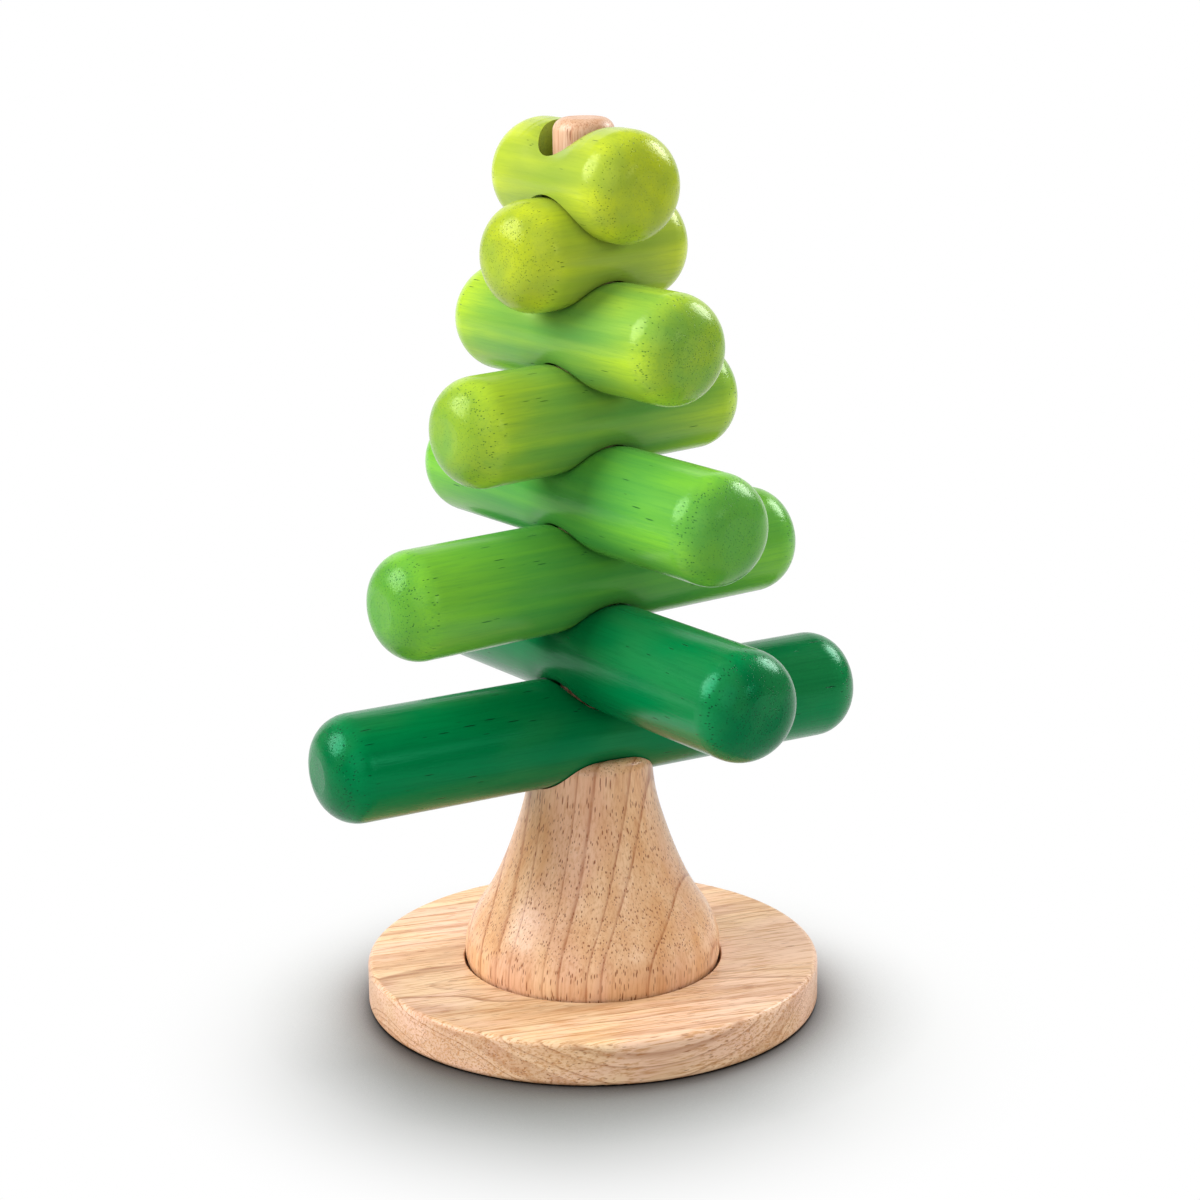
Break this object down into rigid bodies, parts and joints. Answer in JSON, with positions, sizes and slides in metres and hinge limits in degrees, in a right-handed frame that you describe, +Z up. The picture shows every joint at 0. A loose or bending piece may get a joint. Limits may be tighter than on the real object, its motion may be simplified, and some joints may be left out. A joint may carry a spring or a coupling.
{
  "type": "stacking tree toy",
  "caption": "Wooden stacking toy: waisted round branches cross over each other on a dowel that stands in a flared trunk on a round base disc.",
  "frame": {"origin": "centre of the base disc's underside", "axes": "+Z up along the dowel, -Y towards the viewer, +X to the viewer's right"},
  "size_m": [0.152, 0.1458, 0.2481],
  "materials": {
    "base_wood": "sanded plain rubberwood under satin lacquer",
    "trunk_wood": "turned plain rubberwood under satin lacquer",
    "dowel_wood": "plain hardwood dowel under satin lacquer",
    "lime_stain": "turned rubberwood in a translucent lime stain under satin lacquer",
    "yellow_green_stain": "turned rubberwood in a translucent yellow-green stain under satin lacquer",
    "mid_green_stain": "turned rubberwood in a translucent mid-green stain under satin lacquer",
    "dark_green_stain": "turned rubberwood in a translucent dark green stain under satin lacquer"
  },
  "bodies": {
    "base": {"base_disc": "base_wood"},
    "trunk": {"trunk": "trunk_wood", "centre_dowel": "dowel_wood"},
    "branch_1": {"branch_1": "lime_stain"},
    "branch_2": {"branch_2": "lime_stain"},
    "branch_3": {"branch_3": "yellow_green_stain"},
    "branch_4": {"branch_4": "yellow_green_stain"},
    "branch_5": {"branch_5": "mid_green_stain"},
    "branch_6": {"branch_6": "mid_green_stain"},
    "branch_7": {"branch_7": "dark_green_stain"},
    "branch_8": {"branch_8": "dark_green_stain"}
  },
  "joints": [
    {"name": "trunk_lift", "type": "slide", "parent": "base", "child": "trunk", "axis": [0, 0, 1], "range_m": [0, 0.0105]},
    {"name": "branch_8_lift", "type": "slide", "parent": "trunk", "child": "branch_8", "axis": [0, 0, 1], "range_m": [0, 0.1867]},
    {"name": "branch_7_lift", "type": "slide", "parent": "branch_8", "child": "branch_7", "axis": [0, 0, 1], "range_m": [0, 0.1646]},
    {"name": "branch_6_lift", "type": "slide", "parent": "branch_7", "child": "branch_6", "axis": [0, 0, 1], "range_m": [0, 0.1425]},
    {"name": "branch_5_lift", "type": "slide", "parent": "branch_6", "child": "branch_5", "axis": [0, 0, 1], "range_m": [0, 0.1204]},
    {"name": "branch_4_lift", "type": "slide", "parent": "branch_5", "child": "branch_4", "axis": [0, 0, 1], "range_m": [0, 0.0983]},
    {"name": "branch_3_lift", "type": "slide", "parent": "branch_4", "child": "branch_3", "axis": [0, 0, 1], "range_m": [0, 0.0762]},
    {"name": "branch_2_lift", "type": "slide", "parent": "branch_3", "child": "branch_2", "axis": [0, 0, 1], "range_m": [0, 0.0541]},
    {"name": "branch_1_lift", "type": "slide", "parent": "branch_2", "child": "branch_1", "axis": [0, 0, 1], "range_m": [0, 0.0353]}
  ]
}
